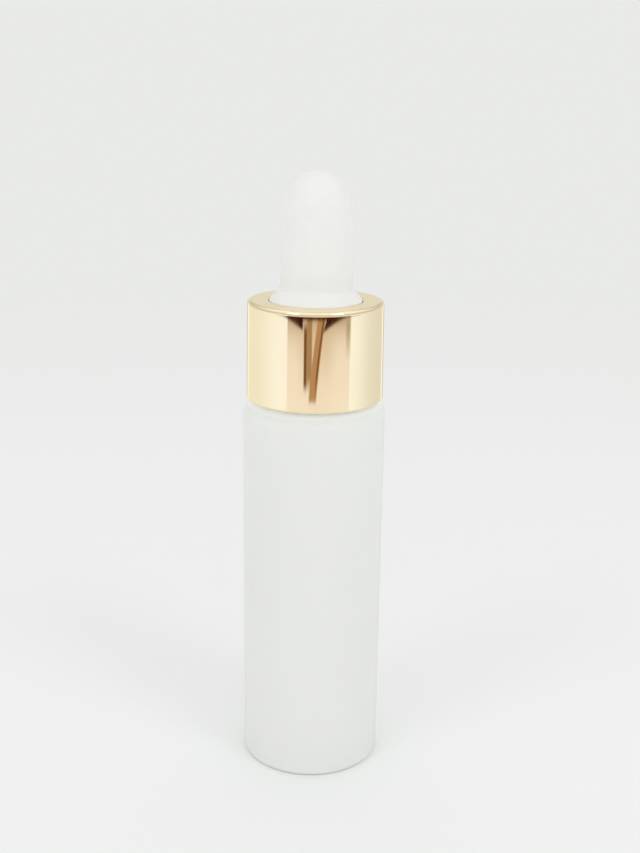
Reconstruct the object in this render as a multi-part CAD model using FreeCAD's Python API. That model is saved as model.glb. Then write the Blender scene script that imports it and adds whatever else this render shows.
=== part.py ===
import FreeCAD, Part
import math
import os

# Frosted 10 ml tube bottle with a screw-on medicine dropper. Millimetres, +Z up,
# origin at the middle of the bottle's base on the plane it stands on.

# Radii, built outwards from the pipette.
PIPETTE_RADIUS = 3.0
PIPETTE_WALL = 0.8
PIPETTE_BEAD = 0.4           # the fire-polished head stands out this far all round
SLIDE_CLEARANCE = 0.05       # round the pipette, in the wiper's hole and the teat's throat
WIPER_ROOM = 1.1             # open ring between the pipette and the wiper's tube
WIPER_WALL = 0.85
NECK_WALL = 1.95
THREAD_HEIGHT = 0.85
THREAD_CLEARANCE = 0.25      # ridge tops to the wall they face
CLOSURE_WALL = 0.75
RIB_HEIGHT = 0.28            # ribs that grip the inside of the metal collar
COLLAR_WALL = 0.4
COLLAR_DRAFT = 0.12          # the collar is this much wider in radius at its hem
SHOULDER_WIDTH = 3.1         # the glass body stands this far outside its neck
GLASS_WALL = 1.8
THROAT_WALL = 3.08           # rubber round the pipette where it passes through the collar
SWIVEL_CLEARANCE = 0.07      # teat in the closure's hole, so that the collar turns round it
COLLAR_HOLE_MARGIN = 0.3     # the metal stands back this far from the closure's hole
FLANGE_CLEARANCE = 0.3       # teat flange inside the closure
HEAD_ROOM = 0.24             # open ring between the pipette's head and the bulb's wall
BULB_WALL = 1.2
BULB_DRAFT = 0.16            # the bulb is this much wider in radius above the flare

# Heights, built upwards from the base.
BODY_HEIGHT = 54.45          # base to the flat of the shoulder
NECK_HEIGHT = 10.35          # shoulder to lip
FLOOR_THICKNESS = 2.5        # glass over the push-up
PUSH_UP = 0.5
HEM_GAP = 0.3                # shoulder to the collar's hem
SKIRT_RECESS = 0.85          # the plastic skirt ends this far inside the hem
WIPER_FLANGE = 0.6
WIPER_LENGTH = 7.0           # tube below the lip
WIPER_LIP = 0.6              # land of the wiping hole
TEAT_FLANGE = 1.6
SEAT_CLEARANCE = 0.03        # teat flange to the closure's web
WEB_THICKNESS = 1.0
FLARE_HEIGHT = 1.8
BULB_HEIGHT = 17.57          # collar top to the tip of the dome
THROAT_RISE = 2.6            # collar top to the ledge that carries the pipette's head
BEAD_THICKNESS = 0.9
TIP_GAP = 4.5                # pipette tip to the inside floor
TAPER_LENGTH = 12.0
TIP_RADIUS = 1.3
TIP_BORE = 0.6               # radius of the jet

# Screw thread, right-handed.
THREAD_PITCH = 2.117
THREAD_TURNS = 1.5
THREAD_CREST = 0.45          # width of a ridge's top
THREAD_RISE = 4.15           # shoulder to the start of the glass ridge
FLANK_SLOPE = math.tan(math.radians(30))

# Rounded edges.
HEEL_ROUND = 0.5
SHOULDER_DROP = 2.4          # the shoulder's round takes this much of the wall
SHOULDER_RUN = 1.8           # and this much of the flat
FLOOR_ROUND = 2.0
EDGE_ROUND = 0.2
COLLAR_ROUND = 0.5

RIB_COUNT = 40
RIB_WIDTH = 0.5

# Values that follow from the ones above.
HEAD_RADIUS = PIPETTE_RADIUS + PIPETTE_BEAD
THROAT_RADIUS = PIPETTE_RADIUS + SLIDE_CLEARANCE
WIPER_INSIDE = PIPETTE_RADIUS + WIPER_ROOM
BORE_RADIUS = WIPER_INSIDE + WIPER_WALL
NECK_RADIUS = BORE_RADIUS + NECK_WALL
CLOSURE_INSIDE = NECK_RADIUS + THREAD_HEIGHT + THREAD_CLEARANCE
COLLAR_TOP_RADIUS = CLOSURE_INSIDE + CLOSURE_WALL + RIB_HEIGHT + COLLAR_WALL
BODY_RADIUS = NECK_RADIUS + SHOULDER_WIDTH
TEAT_NECK_RADIUS = THROAT_RADIUS + THROAT_WALL
WEB_HOLE = TEAT_NECK_RADIUS + SWIVEL_CLEARANCE
CAVITY_RADIUS = HEAD_RADIUS + HEAD_ROOM
BULB_RADIUS = CAVITY_RADIUS + BULB_WALL

FLOOR_Z = PUSH_UP + FLOOR_THICKNESS
LIP_Z = BODY_HEIGHT + NECK_HEIGHT
THREAD_Z = BODY_HEIGHT + THREAD_RISE
HEM_Z = BODY_HEIGHT + HEM_GAP
SKIRT_Z = HEM_Z + SKIRT_RECESS
FLANGE_Z = LIP_Z + WIPER_FLANGE
FLANGE_TOP_Z = FLANGE_Z + TEAT_FLANGE
WEB_Z = FLANGE_TOP_Z + SEAT_CLEARANCE
WEB_TOP_Z = WEB_Z + WEB_THICKNESS
COLLAR_TOP_Z = WEB_TOP_Z + COLLAR_WALL
LEDGE_Z = COLLAR_TOP_Z + THROAT_RISE
TIP_Z = FLOOR_Z + TIP_GAP


def turned(*corners):
    """Turn a closed outline round the Z axis.

    Each corner is (r, z), or (r, z, cut) to round it off over that length of both its
    edges, or (r, z, before, after) to round it off over a different length of each.
    """
    spots = [FreeCAD.Vector(corner[0], 0, corner[1]) for corner in corners]
    bends = []
    for i, corner in enumerate(corners):
        before = corner[2] if len(corner) > 2 else 0
        after = corner[-1] if len(corner) > 2 else 0
        back = (spots[i - 1] - spots[i]).normalize()
        ahead = (spots[(i + 1) % len(spots)] - spots[i]).normalize()
        weight = math.sin(back.getAngle(ahead) / 2)
        bends.append((spots[i] + back * before, spots[i], spots[i] + ahead * after, weight))
    edges = []
    for i, (start, corner, end, weight) in enumerate(bends):
        if start != end:
            curve = Part.BezierCurve()
            curve.setPoles([start, corner, end])
            curve.setWeight(2, weight)
            edges.append(curve.toShape())
        following = bends[(i + 1) % len(bends)][0]
        if end.distanceToPoint(following) > 1e-6:
            edges.append(Part.makeLine(end, following))
    face = Part.Face(Part.Wire(edges))
    return face.revolve(FreeCAD.Vector(0, 0, 0), FreeCAD.Vector(0, 0, 1), 360)


def thread_ridge(root, crest, start_z):
    """Helical ridge from just behind the root radius to the crest radius."""
    outward = 1 if crest > root else -1
    sunk = root - outward * EDGE_ROUND
    half_crest = THREAD_CREST / 2
    half_foot = half_crest + abs(crest - sunk) * FLANK_SLOPE
    profile = Part.makePolygon([
        FreeCAD.Vector(sunk, 0, start_z - half_foot),
        FreeCAD.Vector(crest, 0, start_z - half_crest),
        FreeCAD.Vector(crest, 0, start_z + half_crest),
        FreeCAD.Vector(sunk, 0, start_z + half_foot),
        FreeCAD.Vector(sunk, 0, start_z - half_foot),
    ])
    spine = Part.makeHelix(THREAD_PITCH, THREAD_PITCH * THREAD_TURNS, root)
    spine.translate(FreeCAD.Vector(0, 0, start_z))
    return Part.Wire(spine.Edges).makePipeShell([profile], True, True)


def collar_outside(z):
    """Outside radius of the drafted collar at a height."""
    return COLLAR_TOP_RADIUS + COLLAR_DRAFT * (COLLAR_TOP_Z - z) / (COLLAR_TOP_Z - HEM_Z)


def glass_bottle():
    inside = BODY_RADIUS - GLASS_WALL
    glass = turned(
        (0, PUSH_UP),
        (inside - 2 * PUSH_UP, PUSH_UP, PUSH_UP),
        (inside, 0, PUSH_UP),
        (BODY_RADIUS, 0, HEEL_ROUND),
        (BODY_RADIUS, BODY_HEIGHT, SHOULDER_DROP, SHOULDER_RUN),
        (NECK_RADIUS, BODY_HEIGHT, EDGE_ROUND),
        (NECK_RADIUS, LIP_Z, EDGE_ROUND),
        (BORE_RADIUS, LIP_Z, EDGE_ROUND),
        (BORE_RADIUS, BODY_HEIGHT - GLASS_WALL, HEEL_ROUND),
        (inside, BODY_HEIGHT - GLASS_WALL, HEEL_ROUND),
        (inside, FLOOR_Z, FLOOR_ROUND),
        (0, FLOOR_Z),
    )
    return glass.fuse(thread_ridge(NECK_RADIUS, NECK_RADIUS + THREAD_HEIGHT, THREAD_Z))


def neck_wiper():
    foot = LIP_Z - WIPER_LENGTH
    return turned(
        (THROAT_RADIUS, foot),
        (BORE_RADIUS, foot, WIPER_LIP),
        (BORE_RADIUS, LIP_Z),
        (NECK_RADIUS - EDGE_ROUND, LIP_Z),
        (NECK_RADIUS - EDGE_ROUND, FLANGE_Z),
        (WIPER_INSIDE, FLANGE_Z, EDGE_ROUND),
        (WIPER_INSIDE, foot + WIPER_LIP + WIPER_ROOM),
        (THROAT_RADIUS, foot + WIPER_LIP),
    )


def glass_pipette():
    bore = PIPETTE_RADIUS - PIPETTE_WALL
    taper_z = TIP_Z + TAPER_LENGTH
    return turned(
        (TIP_BORE, TIP_Z, EDGE_ROUND),
        (TIP_RADIUS, TIP_Z, EDGE_ROUND),
        (PIPETTE_RADIUS, taper_z, 2.0),
        (PIPETTE_RADIUS, LEDGE_Z),
        (HEAD_RADIUS, LEDGE_Z, EDGE_ROUND),
        (HEAD_RADIUS, LEDGE_Z + BEAD_THICKNESS, PIPETTE_BEAD),
        (bore, LEDGE_Z + BEAD_THICKNESS, EDGE_ROUND),
        (bore, taper_z, 2.0),
    )


def rubber_bulb():
    top = COLLAR_TOP_Z + BULB_HEIGHT
    flange = CLOSURE_INSIDE - FLANGE_CLEARANCE
    return turned(
        (THROAT_RADIUS, FLANGE_Z, EDGE_ROUND),
        (flange, FLANGE_Z, EDGE_ROUND),
        (flange, FLANGE_TOP_Z, EDGE_ROUND),
        (TEAT_NECK_RADIUS, FLANGE_TOP_Z),
        (TEAT_NECK_RADIUS, COLLAR_TOP_Z),
        (BULB_RADIUS + BULB_DRAFT, COLLAR_TOP_Z + FLARE_HEIGHT, 1.0),
        (BULB_RADIUS, top, BULB_RADIUS),
        (0, top),
        (0, top - BULB_WALL),
        (CAVITY_RADIUS, top - BULB_WALL, CAVITY_RADIUS),
        (CAVITY_RADIUS, LEDGE_Z),
        (THROAT_RADIUS, LEDGE_Z),
    )


def inner_closure():
    def wall(z):
        return collar_outside(z) - COLLAR_WALL - RIB_HEIGHT

    cap = turned(
        (CLOSURE_INSIDE, SKIRT_Z, EDGE_ROUND),
        (wall(SKIRT_Z), SKIRT_Z, EDGE_ROUND),
        (wall(WEB_TOP_Z), WEB_TOP_Z),
        (WEB_HOLE, WEB_TOP_Z),
        (WEB_HOLE, WEB_Z),
        (CLOSURE_INSIDE, WEB_Z, EDGE_ROUND),
    )
    between = THREAD_Z - THREAD_PITCH / 2
    cap = cap.fuse(thread_ridge(CLOSURE_INSIDE, CLOSURE_INSIDE - THREAD_HEIGHT, between))

    low = SKIRT_Z + HEEL_ROUND
    high = WEB_TOP_Z - HEEL_ROUND
    grip = turned(
        (wall(low) - EDGE_ROUND, low),
        (wall(low) + RIB_HEIGHT, low),
        (wall(high) + RIB_HEIGHT, high),
        (wall(high) - EDGE_ROUND, high),
    )
    blank = Part.makeBox(COLLAR_TOP_RADIUS * 2, RIB_WIDTH, high)
    blank.translate(FreeCAD.Vector(0, -RIB_WIDTH / 2, 0))
    blanks = []
    for i in range(RIB_COUNT):
        rib = blank.copy()
        rib.rotate(FreeCAD.Vector(0, 0, 0), FreeCAD.Vector(0, 0, 1), 360 * i / RIB_COUNT)
        blanks.append(grip.common(rib))
    return cap.fuse(blanks)


def collar_shell():
    hem_inside = collar_outside(HEM_Z) - COLLAR_WALL
    hole = WEB_HOLE + COLLAR_HOLE_MARGIN
    hem_round = COLLAR_WALL * 0.4
    return turned(
        (hem_inside, HEM_Z, hem_round),
        (collar_outside(HEM_Z), HEM_Z, hem_round),
        (COLLAR_TOP_RADIUS, COLLAR_TOP_Z, COLLAR_ROUND),
        (hole, COLLAR_TOP_Z, hem_round),
        (hole, WEB_TOP_Z, hem_round),
        (collar_outside(WEB_TOP_Z) - COLLAR_WALL, WEB_TOP_Z, EDGE_ROUND),
    )


os.makedirs("parts", exist_ok=True)
for piece in (glass_bottle, neck_wiper, glass_pipette, rubber_bulb, inner_closure, collar_shell):
    piece().exportStep("parts/" + piece.__name__ + ".step")
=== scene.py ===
import math

import bmesh
import bpy
from mathutils import Matrix, Vector


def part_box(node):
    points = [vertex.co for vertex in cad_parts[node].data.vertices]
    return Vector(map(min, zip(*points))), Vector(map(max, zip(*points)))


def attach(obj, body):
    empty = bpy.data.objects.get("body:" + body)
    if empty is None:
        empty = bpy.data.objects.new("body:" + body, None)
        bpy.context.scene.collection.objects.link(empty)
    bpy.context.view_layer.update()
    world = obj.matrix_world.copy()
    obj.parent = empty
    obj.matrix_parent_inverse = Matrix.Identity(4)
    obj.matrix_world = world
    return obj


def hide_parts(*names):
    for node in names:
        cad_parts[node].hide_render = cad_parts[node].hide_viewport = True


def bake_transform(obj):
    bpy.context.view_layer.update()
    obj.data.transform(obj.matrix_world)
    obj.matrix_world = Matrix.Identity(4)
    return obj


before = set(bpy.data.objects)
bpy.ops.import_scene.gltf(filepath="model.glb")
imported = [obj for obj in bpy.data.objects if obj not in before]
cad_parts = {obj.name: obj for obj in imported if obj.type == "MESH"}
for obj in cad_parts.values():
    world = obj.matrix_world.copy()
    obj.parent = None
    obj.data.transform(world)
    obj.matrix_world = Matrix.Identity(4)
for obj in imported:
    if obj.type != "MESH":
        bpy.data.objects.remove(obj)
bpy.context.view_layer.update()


# ---------------------------------------------------------------- frosted bottle
# The real piece is moulded soda-lime glass: a straight tube body with a thick floor, a shallow
# push-up, a round shoulder and a threaded neck. Its outside is acid-etched after moulding, which
# leaves it milky and evenly matt, with a cold green cast where the glass is thick.

MM = 0.001


def pick_ring(piece, radius, height):
    """Select the ring of edges at one radius and height of the piece in edit mode."""
    near = 2e-6
    mesh = bmesh.from_edit_mesh(piece.data)
    for edge in mesh.edges:
        edge.select_set(all(
            abs(math.hypot(v.co.x, v.co.y) - radius) < near and abs(v.co.z - height) < near
            for v in edge.verts))
    bmesh.update_edit_mesh(piece.data)


def turned(name, outline, facets=128):
    """A lathe-turned piece: a circle extruded from corner to corner of its outline.

    A corner is (radius, height) or (radius, height, rounding). Each rounded corner gets
    a holding ring on both sides and is bevelled. An outline that starts and ends at
    radius 0 closes on its poles, and any other closes on itself.
    """
    closed_loop = outline[0][0] > 0
    rings = []
    for i, corner in enumerate(outline):
        here = Vector(corner[:2])
        rounding = corner[2] if len(corner) > 2 else 0
        if not rounding:
            rings.append(here)
            continue
        for neighbour in (outline[i - 1], outline[(i + 1) % len(outline)]):
            along = Vector(neighbour[:2]) - here
            room = along.length - 1.3 * (neighbour[2] if len(neighbour) > 2 else 0)
            if neighbour is outline[(i + 1) % len(outline)]:
                rings.append(here)
            if room > 1.4 * rounding:
                rings.append(here + along.normalized() * 1.3 * rounding)
    bpy.ops.object.select_all(action="DESELECT")
    first = 0 if closed_loop else 1
    start = rings[first]
    bpy.ops.mesh.primitive_circle_add(
        vertices=facets, radius=start.x, location=(0, 0, start.y), fill_type="NOTHING")
    bpy.ops.object.transform_apply(location=True, rotation=True, scale=True)
    piece = bpy.context.object
    piece.name = piece.data.name = name
    bpy.ops.object.mode_set(mode="EDIT")
    bpy.ops.mesh.select_mode(type="EDGE")
    bpy.ops.mesh.select_all(action="SELECT")

    def extrude_to(old, new):
        """Extrude the selected ring to the next one, or draw it in to a pole."""
        bpy.ops.mesh.extrude_edges_move(
            TRANSFORM_OT_translate={"value": (0, 0, new.y - old.y)})
        if new.x == 0:
            bpy.ops.mesh.merge(type="CENTER")
        else:
            scale = new.x / old.x
            bpy.ops.transform.resize(
                value=(scale, scale, 1), center_override=(0, 0, new.y))

    for old, new in zip(rings[first:], rings[first + 1:]):
        extrude_to(old, new)
    if closed_loop:
        extrude_to(rings[-1], start)
    else:
        pick_ring(piece, start.x, start.y)
        extrude_to(start, rings[0])
    bpy.ops.mesh.select_all(action="SELECT")
    bpy.ops.mesh.remove_doubles(threshold=1e-7)
    for corner in outline:
        if len(corner) > 2:
            pick_ring(piece, corner[0], corner[1])
            bpy.ops.mesh.bevel(
                offset=corner[2], offset_type="OFFSET", affect="EDGES",
                segments=max(3, min(10, round(corner[2] / (0.12 * MM)))), profile=0.5)
    bpy.ops.mesh.select_all(action="SELECT")
    bpy.ops.mesh.normals_make_consistent(inside=False)
    bpy.ops.object.mode_set(mode="OBJECT")
    return piece


def screw_ridge(name, radius, start_z, pitch, turns, reach, half_width):
    """A rounded helical ridge whose ends run out into the wall it stands on."""
    steps_a_turn = 56
    fading_steps = steps_a_turn // 5
    thinnest = 0.06
    bpy.ops.object.select_all(action="DESELECT")
    bpy.ops.mesh.primitive_circle_add(
        vertices=14, radius=reach, location=(radius, 0, start_z),
        rotation=(math.pi / 2, 0, 0), fill_type="NOTHING")
    ridge = bpy.context.object
    ridge.name = name
    bpy.ops.object.transform_apply(location=True, rotation=True, scale=True)
    bpy.ops.object.mode_set(mode="EDIT")
    bpy.ops.mesh.select_all(action="SELECT")
    bpy.ops.transform.resize(
        value=(1, 1, half_width / reach), center_override=(radius, 0, start_z))
    bpy.ops.object.mode_set(mode="OBJECT")
    bpy.ops.object.modifier_add(type="SCREW")
    screw = ridge.modifiers[-1]
    screw.axis = "Z"
    screw.angle = turns * math.tau
    screw.screw_offset = pitch * turns
    screw.steps = screw.render_steps = round(steps_a_turn * turns)
    bpy.ops.object.modifier_apply(modifier=screw.name)
    bpy.ops.object.mode_set(mode="EDIT")
    bpy.ops.mesh.select_mode(type="VERT")
    for end, way in ((0, 1), (turns, -1)):
        for step in range(fading_steps):
            turn = end + way * step / steps_a_turn
            angle = turn * math.tau
            centre = Vector((
                radius * math.cos(angle), radius * math.sin(angle), start_z + pitch * turn))
            bpy.ops.mesh.select_all(action="DESELECT")
            mesh = bmesh.from_edit_mesh(ridge.data)
            for v in mesh.verts:
                share = math.atan2(v.co.y, v.co.x) / math.tau
                share += round((v.co.z - start_z) / pitch - share)
                v.select_set(abs(share - turn) < 0.3 / steps_a_turn)
            mesh.select_flush(True)
            bmesh.update_edit_mesh(ridge.data)
            shrink = thinnest + (1 - thinnest) * math.sin(math.pi / 2 * step / fading_steps)
            bpy.ops.transform.resize(value=(shrink,) * 3, center_override=centre)
            if step == 0:
                bpy.ops.mesh.edge_face_add()
    bpy.ops.mesh.select_all(action="SELECT")
    bpy.ops.mesh.normals_make_consistent(inside=False)
    bpy.ops.object.mode_set(mode="OBJECT")
    return ridge


def weld(body, part):
    """Unite a part with a body, delete the part and clean the joint of slivers."""
    sliver = 1e-6
    bpy.ops.object.select_all(action="DESELECT")
    bpy.context.view_layer.objects.active = body
    body.select_set(True)
    bpy.ops.object.modifier_add(type="BOOLEAN")
    union = body.modifiers[-1]
    union.operation = "UNION"
    union.solver = "EXACT"
    union.object = part
    bpy.ops.object.modifier_apply(modifier=union.name)
    bpy.data.objects.remove(part)
    bpy.ops.object.mode_set(mode="EDIT")
    bpy.ops.mesh.select_all(action="SELECT")
    bpy.ops.mesh.remove_doubles(threshold=sliver)
    bpy.ops.mesh.dissolve_degenerate(threshold=sliver)
    bpy.ops.object.mode_set(mode="OBJECT")


def smooth(piece, degrees=35):
    """Shade a piece smooth, apart from edges sharper than an angle."""
    bpy.ops.object.select_all(action="DESELECT")
    bpy.context.view_layer.objects.active = piece
    piece.select_set(True)
    bpy.ops.object.shade_smooth_by_angle(angle=math.radians(degrees))


glass_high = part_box("glass_bottle")[1]
hem_low, collar_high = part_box("collar_shell")
body_radius = glass_high.x
lip_z = glass_high.z
shoulder_z = hem_low.z - 0.3 * MM
neck_radius = body_radius - 3.1 * MM
bore_radius = neck_radius - 1.95 * MM
glass_wall = 1.8 * MM
floor_z = 3.0 * MM
push_up = 0.5 * MM
inside_radius = body_radius - glass_wall
thread_pitch = 2.117 * MM
thread_turns = 1.5
thread_reach = 0.85 * MM
thread_root = 0.05 * MM
thread_half_width = 0.6 * MM
thread_z = shoulder_z + 4.15 * MM
shoulder_run = 1.8 * MM
shoulder_drop = 2.4 * MM
shoulder_steps = 14
thin_etch = (0.955, 0.978, 0.93)
full_etch = (0.972, 0.99, 0.95)
thick_glass = (0.94, 0.965, 0.925)

shoulder = []
for step in range(shoulder_steps + 1):
    angle = math.pi / 2 * step / shoulder_steps
    shoulder.append((body_radius - shoulder_run * (1 - math.cos(angle)),
                     shoulder_z - shoulder_drop * (1 - math.sin(angle))))

bottle = turned("frosted_bottle", [
    (0, push_up),
    (inside_radius - 2 * push_up, push_up, 0.4 * MM),
    (inside_radius + 0.1 * MM, 0, 0.3 * MM),
    (body_radius, 0, 0.6 * MM),
    (body_radius, 12 * MM),
    (body_radius, 32 * MM),
    *shoulder,
    (neck_radius, shoulder_z, 0.2 * MM),
    (neck_radius, lip_z, 0.35 * MM),
    (bore_radius, lip_z, 0.25 * MM),
    (bore_radius, shoulder_z - glass_wall, 0.6 * MM),
    (inside_radius, shoulder_z - glass_wall, 0.9 * MM),
    (inside_radius, floor_z, 1.9 * MM),
    (0, floor_z),
])
weld(bottle, screw_ridge("neck_ridge", neck_radius - thread_root, thread_z, thread_pitch,
                         thread_turns, thread_reach + thread_root, thread_half_width))
smooth(bottle)


def new_material(name):
    """A material with its shader, its Object coordinates and its node and link makers."""
    material = bpy.data.materials.new(name)
    material.use_nodes = True
    nodes, links = material.node_tree.nodes, material.node_tree.links
    shader = nodes["Principled BSDF"]
    place = nodes.new("ShaderNodeTexCoord").outputs["Object"]
    return material, nodes, links, shader, place


def noise(nodes, links, place, scale, detail=2.0, stretch=(1, 1, 1)):
    """Noise on Object coordinates; scale is in features a metre."""
    mapping = nodes.new("ShaderNodeMapping")
    mapping.inputs["Scale"].default_value = stretch
    links.new(place, mapping.inputs["Vector"])
    texture = nodes.new("ShaderNodeTexNoise")
    texture.inputs["Scale"].default_value = scale
    texture.inputs["Detail"].default_value = detail
    links.new(mapping.outputs["Vector"], texture.inputs["Vector"])
    return texture.outputs["Fac"]


def spread(nodes, links, source, low, high, from_low=0.3, from_high=0.7):
    """Map a 0 to 1 pattern onto a range."""
    node = nodes.new("ShaderNodeMapRange")
    node.inputs["From Min"].default_value = from_low
    node.inputs["From Max"].default_value = from_high
    node.inputs["To Min"].default_value = low
    node.inputs["To Max"].default_value = high
    links.new(source, node.inputs["Value"])
    return node.outputs["Result"]


def tint(nodes, links, source, first, second):
    """Blend two colours by a pattern."""
    node = nodes.new("ShaderNodeMix")
    node.data_type = "RGBA"
    node.inputs["A"].default_value = (*first, 1)
    node.inputs["B"].default_value = (*second, 1)
    links.new(source, node.inputs["Factor"])
    return node.outputs["Result"]


def relief(nodes, links, shader, source, distance, strength):
    """Raise a pattern on the shader's surface."""
    node = nodes.new("ShaderNodeBump")
    node.inputs["Distance"].default_value = distance
    node.inputs["Strength"].default_value = strength
    links.new(source, node.inputs["Height"])
    links.new(node.outputs["Normal"], shader.inputs["Normal"])


def out_from_axis(nodes, links, place):
    """Distance of a point from the upright axis."""
    flat = nodes.new("ShaderNodeMapping")
    flat.inputs["Scale"].default_value = (1, 1, 0)
    links.new(place, flat.inputs["Vector"])
    reach = nodes.new("ShaderNodeVectorMath")
    reach.operation = "LENGTH"
    links.new(flat.outputs["Vector"], reach.inputs[0])
    return reach.outputs["Value"]


frosted, nodes, links, shader, place = new_material("etched_glass")
shader.inputs["IOR"].default_value = 1.5
shader.inputs["Transmission Weight"].default_value = 0.22
shader.inputs["Subsurface Weight"].default_value = 0.6
shader.inputs["Subsurface Radius"].default_value = (1, 1, 1)
shader.inputs["Specular IOR Level"].default_value = 0.35
split = nodes.new("ShaderNodeSeparateXYZ")
links.new(place, split.inputs["Vector"])
thickness = spread(nodes, links, split.outputs["Z"], 1, 0, 0.5 * MM, floor_z + 2 * MM)
mottle = noise(nodes, links, place, 260, 3)
milk = tint(nodes, links, spread(nodes, links, mottle, 0, 1), thin_etch, full_etch)
heel = nodes.new("ShaderNodeMix")
heel.data_type = "RGBA"
heel.inputs["B"].default_value = (*thick_glass, 1)
links.new(thickness, heel.inputs["Factor"])
links.new(milk, heel.inputs["A"])
links.new(heel.outputs["Result"], shader.inputs["Base Color"])
# the acid reaches the outside only: the surface is matt beyond the middle of the wall
distance_out = out_from_axis(nodes, links, place)
etched_from = spread(nodes, links, split.outputs["Z"], body_radius - 1 * MM, neck_radius - 1 * MM,
                     shoulder_z - 2 * MM, shoulder_z - 1 * MM)
past = nodes.new("ShaderNodeMath")
past.operation = "SUBTRACT"
links.new(distance_out, past.inputs[0])
links.new(etched_from, past.inputs[1])
matt = spread(nodes, links, past.outputs["Value"], 0.06, 0.6, -0.1 * MM, 0.1 * MM)
links.new(spread(nodes, links, mottle, 0.5, 0.62), matt.node.inputs["To Max"])
links.new(matt, shader.inputs["Roughness"])
# light spreads further inside the wall towards the shoulder; and the shoulder just under the collar
# gets a painted glow, emitted light that covers the shade the collar casts on it
links.new(spread(nodes, links, split.outputs["Z"], 0.7 * MM, 2.5 * MM,
                 shoulder_z - 4 * MM, shoulder_z - 2 * MM), shader.inputs["Subsurface Scale"])
# painted light: an emitting band round the shoulder's top, under the collar's hem
shader.inputs["Emission Color"].default_value = (0.93, 0.97, 0.9, 1)
high_up = spread(nodes, links, split.outputs["Z"], 0, 0.36, shoulder_z - 0.8 * MM, shoulder_z)
on_shoulder = spread(nodes, links, distance_out, 0, 1,
                     body_radius - 2.1 * MM, body_radius - 1.5 * MM)
painted_shoulder_glow = nodes.new("ShaderNodeMath")
painted_shoulder_glow.operation = "MULTIPLY"
links.new(high_up, painted_shoulder_glow.inputs[0])
links.new(on_shoulder, painted_shoulder_glow.inputs[1])
links.new(painted_shoulder_glow.outputs["Value"], shader.inputs["Emission Strength"])
etch = noise(nodes, links, place, 9000, 2)
relief(nodes, links, shader, etch, 0.004 * MM, 0.6)
bottle.data.materials.append(frosted)
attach(bottle, "bottle")
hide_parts("glass_bottle")


# ---------------------------------------------------------------- neck wiper
# A natural polyethylene plug, moulded in one piece and pushed into the neck until its flange
# sits on the lip. Its tube narrows to a thin lip that wipes the pipette as it is drawn out.

wiper_low, wiper_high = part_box("neck_wiper")
plug_radius = bore_radius - 0.02 * MM
plug_inside = 4.1 * MM
flange_foot = lip_z + 0.01 * MM
wiping_radius = 3.05 * MM
clear_wax = (0.86, 0.875, 0.87)
pale_wax = (0.91, 0.92, 0.915)

plug = turned("neck_wiper_plug", [
    (wiping_radius, wiper_low.z, 0.12 * MM),
    (plug_radius - 0.5 * MM, wiper_low.z, 0.15 * MM),
    (plug_radius, wiper_low.z + 0.8 * MM, 0.15 * MM),
    (plug_radius, flange_foot),
    (wiper_high.x, flange_foot, 0.08 * MM),
    (wiper_high.x, wiper_high.z, 0.15 * MM),
    (plug_inside, wiper_high.z, 0.25 * MM),
    (plug_inside, wiper_low.z + 1.7 * MM, 0.2 * MM),
    (wiping_radius, wiper_low.z + 0.6 * MM, 0.12 * MM),
])
smooth(plug)
natural, nodes, links, shader, place = new_material("natural_polyethylene")
shader.inputs["IOR"].default_value = 1.51
shader.inputs["Subsurface Weight"].default_value = 0.35
shader.inputs["Subsurface Radius"].default_value = (1, 1, 1)
shader.inputs["Subsurface Scale"].default_value = 0.8 * MM
shader.inputs["Transmission Weight"].default_value = 0.08
wax = noise(nodes, links, place, 700, 3)
links.new(tint(nodes, links, spread(nodes, links, wax, 0, 1), clear_wax, pale_wax),
          shader.inputs["Base Color"])
links.new(spread(nodes, links, wax, 0.34, 0.48), shader.inputs["Roughness"])
relief(nodes, links, shader, wax, 0.01 * MM, 0.5)
plug.data.materials.append(natural)
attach(plug, "bottle")
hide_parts("neck_wiper")


# ---------------------------------------------------------------- glass pipette
# Drawn borosilicate tube: one end heated and pulled down to a fine jet, the other fire-polished
# into a small bead that sits on the ledge inside the rubber. Clear, with rounded ends.

tube_low, tube_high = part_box("glass_pipette")
tube_radius = 3.0 * MM
tube_bore = 2.2 * MM
taper_z = tube_low.z + 12 * MM
jet_z = tube_low.z + 2.2 * MM
bead_z = tube_high.z - 0.9 * MM
cool_glass = (0.935, 0.96, 0.957)
bright_glass = (0.955, 0.975, 0.972)

pipette = turned("drawn_pipette", [
    (0.6 * MM, tube_low.z, 0.2 * MM),
    (1.3 * MM, tube_low.z, 0.28 * MM),
    (1.38 * MM, jet_z, 0.8 * MM),
    (tube_radius, taper_z, 2.4 * MM),
    (tube_radius, bead_z, 0.1 * MM),
    (tube_high.x, bead_z, 0.2 * MM),
    (tube_high.x, tube_high.z, 0.35 * MM),
    (tube_bore, tube_high.z, 0.3 * MM),
    (tube_bore, taper_z, 2.4 * MM),
    (0.66 * MM, jet_z, 0.8 * MM),
], facets=96)
smooth(pipette)
clear, nodes, links, shader, place = new_material("clear_drawn_glass")
shader.inputs["IOR"].default_value = 1.47
shader.inputs["Transmission Weight"].default_value = 1.0
draw = noise(nodes, links, place, 900, 2, stretch=(1, 1, 0.05))
links.new(tint(nodes, links, spread(nodes, links, draw, 0, 1), cool_glass, bright_glass),
          shader.inputs["Base Color"])
links.new(spread(nodes, links, draw, 0.0, 0.02), shader.inputs["Roughness"])
relief(nodes, links, shader, draw, 0.004 * MM, 0.4)
pipette.data.materials.append(clear)
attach(pipette, "dropper")
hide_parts("glass_pipette")


# ---------------------------------------------------------------- rubber bulb
# One compression-moulded piece of white rubber: a domed, hollow squeeze bulb that flares just
# above the collar, a thick throat round the pipette and a flat flange that seals on the lip.

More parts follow.
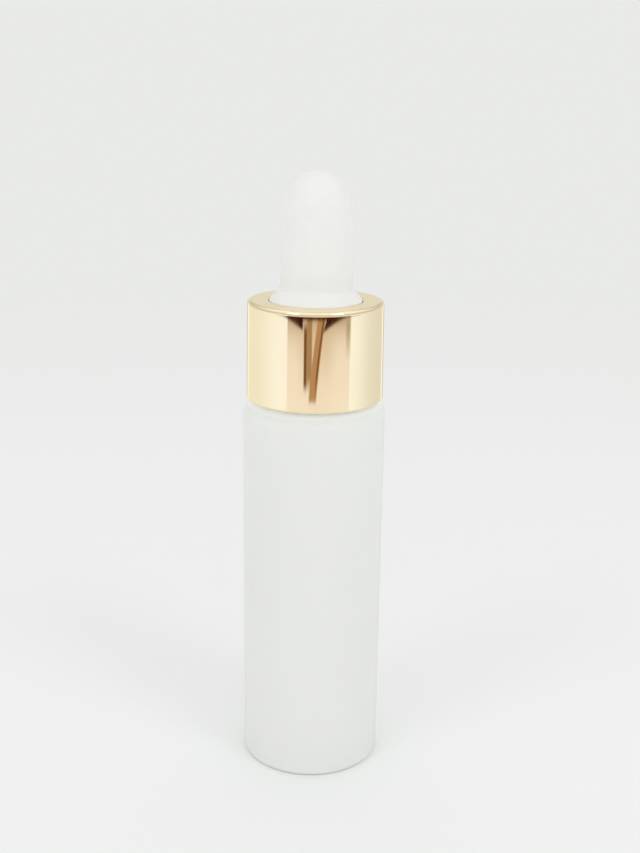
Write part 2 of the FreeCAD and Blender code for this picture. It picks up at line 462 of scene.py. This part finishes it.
teat_low, teat_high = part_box("rubber_bulb")
flange_top = teat_low.z + 1.6 * MM
throat_radius = 3.05 * MM
teat_neck = 6.13 * MM
flare_foot = 6.42 * MM
bulb_radius = 4.84 * MM
bulb_foot_radius = 5.0 * MM
bulb_wall = 1.2 * MM
flare_top = collar_high.z + 1.8 * MM
ledge_z = collar_high.z + 2.6 * MM
dome_z = teat_high.z - bulb_radius
cavity_radius = bulb_radius - bulb_wall
bulb_rings = 18
dull_white = (0.798, 0.8, 0.788)
soft_white = (0.818, 0.82, 0.808)


def dome(radius, going_up):
    """Rings of a half-ball on top of the bulb, between its foot and its pole."""
    arc = []
    for step in range(bulb_rings):
        angle = math.pi / 2 * step / bulb_rings
        arc.append((radius * math.cos(angle), dome_z + radius * math.sin(angle)))
    arc.append((0, dome_z + radius))
    return arc if going_up else arc[::-1]


def side(foot_radius, foot_z, top_radius, going_up):
    """Evenly spaced rings on the bulb's wall."""
    wall = []
    for step in range(1, bulb_rings):
        share = step / bulb_rings
        wall.append((foot_radius + (top_radius - foot_radius) * share,
                     foot_z + (dome_z - foot_z) * share))
    return wall if going_up else wall[::-1]


teat = turned("squeeze_bulb", [
    *dome(bulb_radius, going_up=False),
    *side(bulb_foot_radius, flare_top + 0.9 * MM, bulb_radius, going_up=False),
    (bulb_foot_radius, flare_top, 0.35 * MM),
    (flare_foot, collar_high.z + 0.08 * MM, 0.12 * MM),
    (flare_foot, collar_high.z - 0.28 * MM, 0.08 * MM),
    (teat_neck, collar_high.z - 0.3 * MM),
    (teat_neck, flange_top, 0.12 * MM),
    (teat_high.x, flange_top, 0.25 * MM),
    (teat_high.x, teat_low.z, 0.25 * MM),
    (throat_radius, teat_low.z, 0.25 * MM),
    (throat_radius, ledge_z, 0.15 * MM),
    (cavity_radius, ledge_z, 0.15 * MM),
    *side(cavity_radius, ledge_z + 0.4 * MM, cavity_radius, going_up=True),
    *dome(cavity_radius, going_up=True),
])
smooth(teat)
rubber, nodes, links, shader, place = new_material("white_rubber")
shader.inputs["IOR"].default_value = 1.5
shader.inputs["Subsurface Weight"].default_value = 0.25
shader.inputs["Subsurface Radius"].default_value = (1, 1, 1)
shader.inputs["Subsurface Scale"].default_value = 0.6 * MM
bloom = noise(nodes, links, place, 420, 4)
links.new(tint(nodes, links, spread(nodes, links, bloom, 0, 1), dull_white, soft_white),
          shader.inputs["Base Color"])
links.new(spread(nodes, links, bloom, 0.46, 0.58), shader.inputs["Roughness"])
skin = noise(nodes, links, place, 5200, 3)
relief(nodes, links, shader, skin, 0.012 * MM, 0.5)
teat.data.materials.append(rubber)
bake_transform(teat)
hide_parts("rubber_bulb")


# ---------------------------------------------------------------- inner closure
# White polypropylene screw cap, injection-moulded, with a flat web that clamps the rubber flange
# and a hole for the bulb. Fine ribs round its outside bite into the metal collar pressed over it.

cap_low, cap_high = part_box("inner_closure")
collar_wall = 0.4 * MM
rib_height = 0.28 * MM
collar_draft = 0.12 * MM
hem_radius = -hem_low.x


def collar_outside(height):
    """Radius of the tapered collar at a height."""
    return hem_radius - collar_draft * (height - hem_low.z) / (collar_high.z - hem_low.z)


def cap_outside(height):
    """Radius of the cap's wall between its ribs at a height."""
    return collar_outside(height) - collar_wall - rib_height


web_z = cap_high.z - 1.0 * MM
web_hole = teat_neck + 0.07 * MM
cap_inside = neck_radius + thread_reach + 0.25 * MM
rib_count = 40
rib_width = 0.5 * MM
rib_low = cap_low.z + 0.5 * MM
rib_high = cap_high.z - 0.5 * MM
rib_middle = (rib_low + rib_high) / 2
rib_reach = cap_outside(rib_middle) + rib_height / 2 - 0.06 * MM
flow_grey = (0.83, 0.83, 0.82)
flow_white = (0.87, 0.87, 0.86)

cap = turned("threaded_cap", [
    (cap_inside, cap_low.z, 0.15 * MM),
    (cap_outside(cap_low.z), cap_low.z, 0.15 * MM),
    (cap_outside(cap_high.z), cap_high.z, 0.15 * MM),
    (web_hole, cap_high.z, 0.12 * MM),
    (web_hole, web_z, 0.12 * MM),
    (cap_inside, web_z, 0.2 * MM),
])
weld(cap, screw_ridge("cap_ridge", cap_inside + thread_root, thread_z - thread_pitch / 2,
                      thread_pitch, thread_turns, thread_reach + thread_root, thread_half_width))
bpy.ops.object.select_all(action="DESELECT")
bpy.ops.mesh.primitive_cube_add(size=1, location=(rib_reach, 0, rib_middle))
ribs = bpy.context.object
ribs.scale = (rib_height - 0.02 * MM, rib_width, rib_high - rib_low)
bpy.ops.object.transform_apply(location=True, rotation=True, scale=True)
bpy.ops.object.mode_set(mode="EDIT")
bpy.ops.mesh.select_all(action="SELECT")
bpy.ops.mesh.bevel(offset=0.08 * MM, segments=2, affect="EDGES")
bpy.ops.mesh.select_all(action="SELECT")
bpy.ops.mesh.spin(steps=rib_count, dupli=True, angle=math.tau, center=(0, 0, 0), axis=(0, 0, 1))
bpy.ops.mesh.select_all(action="SELECT")
bpy.ops.mesh.remove_doubles(threshold=1e-6)
bpy.ops.mesh.normals_make_consistent(inside=False)
bpy.ops.object.mode_set(mode="OBJECT")
weld(cap, ribs)
smooth(cap)
polypropylene, nodes, links, shader, place = new_material("moulded_polypropylene")
shader.inputs["IOR"].default_value = 1.49
shader.inputs["Subsurface Weight"].default_value = 0.15
shader.inputs["Subsurface Radius"].default_value = (1, 1, 1)
shader.inputs["Subsurface Scale"].default_value = 0.5 * MM
flow = noise(nodes, links, place, 300, 3, stretch=(1, 1, 0.3))
links.new(tint(nodes, links, spread(nodes, links, flow, 0, 1), flow_grey, flow_white),
          shader.inputs["Base Color"])
links.new(spread(nodes, links, flow, 0.3, 0.42), shader.inputs["Roughness"])
relief(nodes, links, shader, flow, 0.01 * MM, 0.4)
cap.data.materials.append(polypropylene)
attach(cap, "closure")
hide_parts("inner_closure")


# ---------------------------------------------------------------- metal collar
# A thin drawn aluminium cup with a hole punched in its top, polished and anodised pale gold, then
# pressed over the cap. It is a mirror with the faintest upright draw marks on its wall.

collar_hole = web_hole + 0.3 * MM
top_z = collar_high.z
under_top = top_z - collar_wall + 0.01 * MM
pale_gold = (0.93, 0.80, 0.535)
light_gold = (0.94, 0.812, 0.55)

collar = turned("gold_collar", [
    (collar_outside(hem_low.z) - collar_wall, hem_low.z, 0.14 * MM),
    (collar_outside(hem_low.z), hem_low.z, 0.18 * MM),
    (collar_outside(top_z), top_z, 0.5 * MM),
    (collar_hole, top_z, 0.16 * MM),
    (collar_hole, under_top, 0.12 * MM),
    (collar_outside(under_top) - collar_wall, under_top, 0.25 * MM),
], facets=192)
smooth(collar, 60)
gold, nodes, links, shader, place = new_material("gold_anodised_aluminium")
shader.inputs["Metallic"].default_value = 1.0
shader.inputs["Specular Tint"].default_value = (1.0, 0.97, 0.87, 1)
drawn = noise(nodes, links, place, 2600, 3, stretch=(1, 1, 0.02))
cloud = noise(nodes, links, place, 180, 2)
links.new(tint(nodes, links, spread(nodes, links, cloud, 0, 1), pale_gold, light_gold),
          shader.inputs["Base Color"])
links.new(spread(nodes, links, drawn, 0.02, 0.04), shader.inputs["Roughness"])
relief(nodes, links, shader, drawn, 0.0002 * MM, 0.4)
collar.data.materials.append(gold)
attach(collar, "closure")
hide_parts("collar_shell")


# ---------------------------------------------------------------- table and studio
# A white tabletop that runs out into an even white background, as on a light table: the far part
# of the disc gives the background's own brightness, so that no edge or horizon shows.

backdrop = (0.815, 0.826, 0.807)
table_radius = 1.6
bpy.ops.object.select_all(action="DESELECT")
bpy.ops.mesh.primitive_circle_add(vertices=96, radius=table_radius, fill_type="NGON")
table = bpy.context.object
table.name = table.data.name = "tabletop"
bpy.ops.object.mode_set(mode="EDIT")
bpy.ops.mesh.select_all(action="SELECT")
bpy.ops.mesh.inset(thickness=table_radius * 0.75)
bpy.ops.object.mode_set(mode="OBJECT")
paper, nodes, links, shader, place = new_material("white_tabletop")
shader.inputs["Base Color"].default_value = (0.878, 0.886, 0.89, 1)
shader.inputs["Roughness"].default_value = 0.9
shader.inputs["Specular IOR Level"].default_value = 0.1
fade = spread(nodes, links, out_from_axis(nodes, links, place), 0, 1, 0.05, 0.45)
glow = nodes.new("ShaderNodeEmission")
glow.inputs["Color"].default_value = (*backdrop, 1)
join = nodes.new("ShaderNodeMixShader")
links.new(fade, join.inputs["Fac"])
links.new(shader.outputs["BSDF"], join.inputs[1])
links.new(glow.outputs["Emission"], join.inputs[2])
links.new(join.outputs["Shader"], nodes["Material Output"].inputs["Surface"])
table.data.materials.append(paper)

# Painted reflection for the polished collar: a ring painted as white card round the table, open in
# front, where a warm wall shows between two dark flags hung high and two thin stands, with a grey
# card behind. Only reflections pick the ring up; the view and the light don't.
mirror_radius = 0.2
fine_rows = [0.5 * MM] * 92
coarse_rows = [3.2 * MM] * 20
# the collar's taper tips its reflections up by this much at the ring, in mm
tipped_up = 3.3
bpy.ops.object.select_all(action="DESELECT")
bpy.ops.mesh.primitive_circle_add(vertices=480, radius=mirror_radius, fill_type="NOTHING")
reflection_ring = bpy.context.object
reflection_ring.name = reflection_ring.data.name = "painted_reflection_ring"
bpy.ops.object.mode_set(mode="EDIT")
bpy.ops.mesh.select_all(action="SELECT")
for step in fine_rows + coarse_rows:
    bpy.ops.mesh.extrude_edges_move(TRANSFORM_OT_translate={"value": (0, 0, step)})
bpy.ops.object.mode_set(mode="OBJECT")


def between(value, low, high, soft):
    """1 from low to high, falling to 0 over the soft distance on both sides."""
    rise = min(1, max(0, (value - low) / soft + 0.5))
    fall = min(1, max(0, (high - value) / soft + 0.5))
    return rise * fall


def painted_reflection_colour(turn, height):
    """Painted reflection colour of the ring at a turn from the front, in degrees, and a height, in
    mm.
    """
    height -= tipped_up
    beside_opening = math.exp(-((abs(turn) - 58) / 36) ** 2)
    card = Vector((0.93, 0.94, 0.94)) if turn < 0 else Vector((0.8, 0.83, 0.86))
    colour = card.lerp(Vector((1.04, 1.09, 1.2)), beside_opening)
    darker_up = min(1, max(0, height / 28)) ** 5
    warm_wall = Vector((0.96, 0.9, 0.92)).lerp(Vector((0.6, 0.49, 0.41)), darker_up)
    opening = between(height, -9, 62, 36)
    below_top = min(1, max(0, (56 - height) / 22))
    leaning = -5 + 0.3 * height + 0.0075 * min(height, 40) ** 2
    # the flags, painted dark wedges in the reflection: each is cut to a long point away from the
    # middle, under one bowed top edge
    flag = Vector((0.048, 0.009, 0.004))
    left_share = min(1, max(0, (turn + 69) / 48))
    right_share = min(1, max(0, (78 - turn) / 66))
    left_foot = 29.9 - 4.2 * left_share ** 1.6
    right_foot = 29.6 - 4.7 * right_share ** 2.35
    inner_end = 13 + 1.5 * (min(height, 30) - 25.5)
    bow = math.sin(math.pi * min(1, max(0, (turn + 69) / 147)))
    below_bow = min(1, max(0, (31 + 14 * bow ** 0.5 - height) / (0.5 + 11.5 * bow)))
    layers = (
        # the grey card behind and its bright edge, and the ring's plainer top
        (Vector((0.62, 0.6, 0.57)), between(abs(turn), 156, 200, 5)),
        (Vector((1.1, 1.1, 1.12)), between(abs(turn), 147, 156, 3)),
        (Vector((0.8, 0.8, 0.79)), min(1, max(0, (height - 45) / 40))),
        # the warm wall, the left card's bright edge and the right card's shaded one
        (warm_wall, between(turn, -46, 58, 2) * opening),
        (Vector((1.06, 1.08, 1.22)), between(turn, -53, -46, 2) * opening),
        (Vector((0.5, 0.44, 0.35)), between(turn, 51, 59, 3) * between(height, 21, 40, 10)),
        # the stands: their soft shade, the upright one and the gap beside it, the leaning one
        # and its dark side
        (Vector((0.7, 0.56, 0.44)), 0.5 * between(turn, -24, 28, 18) * between(height, 12, 40, 14)),
        (Vector((0.42, 0.26, 0.15)),
         between(turn, -13, -5, 2) * between(height, 9, 80, 5) * below_top),
        (Vector((0.2, 0.1, 0.035)), between(turn, -18, -13, 1.5) * between(height, 8, 27, 3)),
        (Vector((0.5, 0.29, 0.16)),
         between(turn, leaning - 6, leaning + 6, 1.5) * between(height, 4, 80, 1.5) * below_top),
        (Vector((0.22, 0.1, 0.04)),
         between(turn, leaning + 2, leaning + 5, 1.5) * between(height, 9, 80, 6) * below_top),
        # the left flag, the right flag and the strip that joins them
        (flag, below_bow * between(turn, -69, -20, 1.5) * between(height, left_foot, 80, 0.7)),
        (flag,
         below_bow * between(turn, inner_end, 78, 1.5) * between(height, right_foot, 80, 0.7)),
        (flag, below_bow * between(turn, -22, 20, 2) * between(height, 28.7, 80, 0.7)),
    )
    for paint, cover in layers:
        colour = colour.lerp(paint, cover)
    return colour


# paint the collar's reflection onto the ring's points, as an emission colour
reflection_paint = reflection_ring.data.attributes.new("painted_reflection", "FLOAT_COLOR", "POINT")
for vertex, entry in zip(reflection_ring.data.vertices, reflection_paint.data):
    turn = math.degrees(math.atan2(vertex.co.x, -vertex.co.y))
    entry.color = (*painted_reflection_colour(turn, vertex.co.z / MM), 1)
board, nodes, links, shader, place = new_material("painted_reflection_board")
painted = nodes.new("ShaderNodeAttribute")
painted.attribute_name = "painted_reflection"
light = nodes.new("ShaderNodeEmission")
links.new(painted.outputs["Color"], light.inputs["Color"])
links.new(light.outputs["Emission"], nodes["Material Output"].inputs["Surface"])
reflection_ring.data.materials.append(board)
reflection_ring.visible_camera = False
reflection_ring.visible_diffuse = False
reflection_ring.visible_transmission = False
reflection_ring.visible_volume_scatter = False
reflection_ring.visible_shadow = False

# The air above the table: even white for the eye, as light brighter from low down and from the
# front and back, and for mirrors white at the horizon, dimmer above it and bright overhead.
world = bpy.data.worlds.new("studio")
bpy.context.scene.world = world
world.use_nodes = True
nodes, links = world.node_tree.nodes, world.node_tree.links
seen_sky = nodes["Background"]
seen_sky.inputs["Color"].default_value = (*backdrop, 1)
lit_sky = nodes.new("ShaderNodeBackground")
lit_sky.inputs["Color"].default_value = (1, 1, 0.99, 1)
heading = nodes.new("ShaderNodeSeparateXYZ")
links.new(nodes.new("ShaderNodeTexCoord").outputs["Generated"], heading.inputs["Vector"])
low_light = spread(nodes, links, heading.outputs["Z"], 1.2, 0.78, 0, 1)
front = nodes.new("ShaderNodeMath")
front.operation = "ABSOLUTE"
links.new(heading.outputs["Y"], front.inputs[0])
front_light = spread(nodes, links, front.outputs["Value"], 0.82, 1.17, 0, 1)
both = nodes.new("ShaderNodeMath")
both.operation = "MULTIPLY"
links.new(low_light, both.inputs[0])
links.new(front_light, both.inputs[1])
links.new(both.outputs["Value"], lit_sky.inputs["Strength"])
overhead = nodes.new("ShaderNodeValToRGB")
overhead.color_ramp.elements[0].color = (0.74, 0.74, 0.74, 1)
overhead.color_ramp.elements[1].position = 0.8
for height in (0.15, 0.38):
    overhead.color_ramp.elements.new(height).color = (0.585, 0.585, 0.585, 1)
links.new(heading.outputs["Z"], overhead.inputs["Fac"])
mirror_sky = nodes.new("ShaderNodeBackground")
mirror_sky.inputs["Strength"].default_value = 1.08
links.new(overhead.outputs["Color"], mirror_sky.inputs["Color"])
path = nodes.new("ShaderNodeLightPath")
for_mirrors = nodes.new("ShaderNodeMixShader")
links.new(path.outputs["Is Glossy Ray"], for_mirrors.inputs["Fac"])
links.new(lit_sky.outputs["Background"], for_mirrors.inputs[1])
links.new(mirror_sky.outputs["Background"], for_mirrors.inputs[2])
for_eye = nodes.new("ShaderNodeMixShader")
links.new(path.outputs["Is Camera Ray"], for_eye.inputs["Fac"])
links.new(for_mirrors.outputs["Shader"], for_eye.inputs[1])
links.new(seen_sky.outputs["Background"], for_eye.inputs[2])
links.new(for_eye.outputs["Shader"], nodes["World Output"].inputs["Surface"])


def softbox(name, place, watts):
    """A square area light that faces the middle of the bottle."""
    bottle_middle = Vector((0, 0, 0.045))
    lamp = bpy.data.lights.new(name, "AREA")
    lamp.shape = "SQUARE"
    lamp.size = 0.14
    lamp.energy = watts
    stand = bpy.data.objects.new(name, lamp)
    bpy.context.collection.objects.link(stand)
    stand.location = place
    aim = bottle_middle - Vector(place)
    stand.rotation_euler = aim.to_track_quat("-Z", "Y").to_euler()


softbox("left_softbox", (-0.27, -0.26, 0.46), 0.18)
softbox("right_softbox", (0.27, -0.26, 0.46), 0.25)

# The camera stands a hand's length in front of the bottle, looking down on it.
camera_place = (0.33 * MM, -162.4 * MM, 98.66 * MM)
camera_pitch = math.radians(16.6)
camera_turn = math.radians(-0.175)
camera_roll = math.radians(0.841)
lens = bpy.data.cameras.new("studio_camera")
lens.lens = 50.43
lens.sensor_width = 36
lens.clip_start = 0.01
lens.clip_end = 10
camera = bpy.data.objects.new("studio_camera", lens)
bpy.context.collection.objects.link(camera)
camera.matrix_world = (
    Matrix.Translation(camera_place)
    @ Matrix.Rotation(camera_turn, 4, "Z")
    @ Matrix.Rotation(math.pi / 2 - camera_pitch, 4, "X")
    @ Matrix.Rotation(camera_roll, 4, "Z"))
bpy.context.scene.camera = camera
bpy.context.scene.view_settings.view_transform = "Standard"
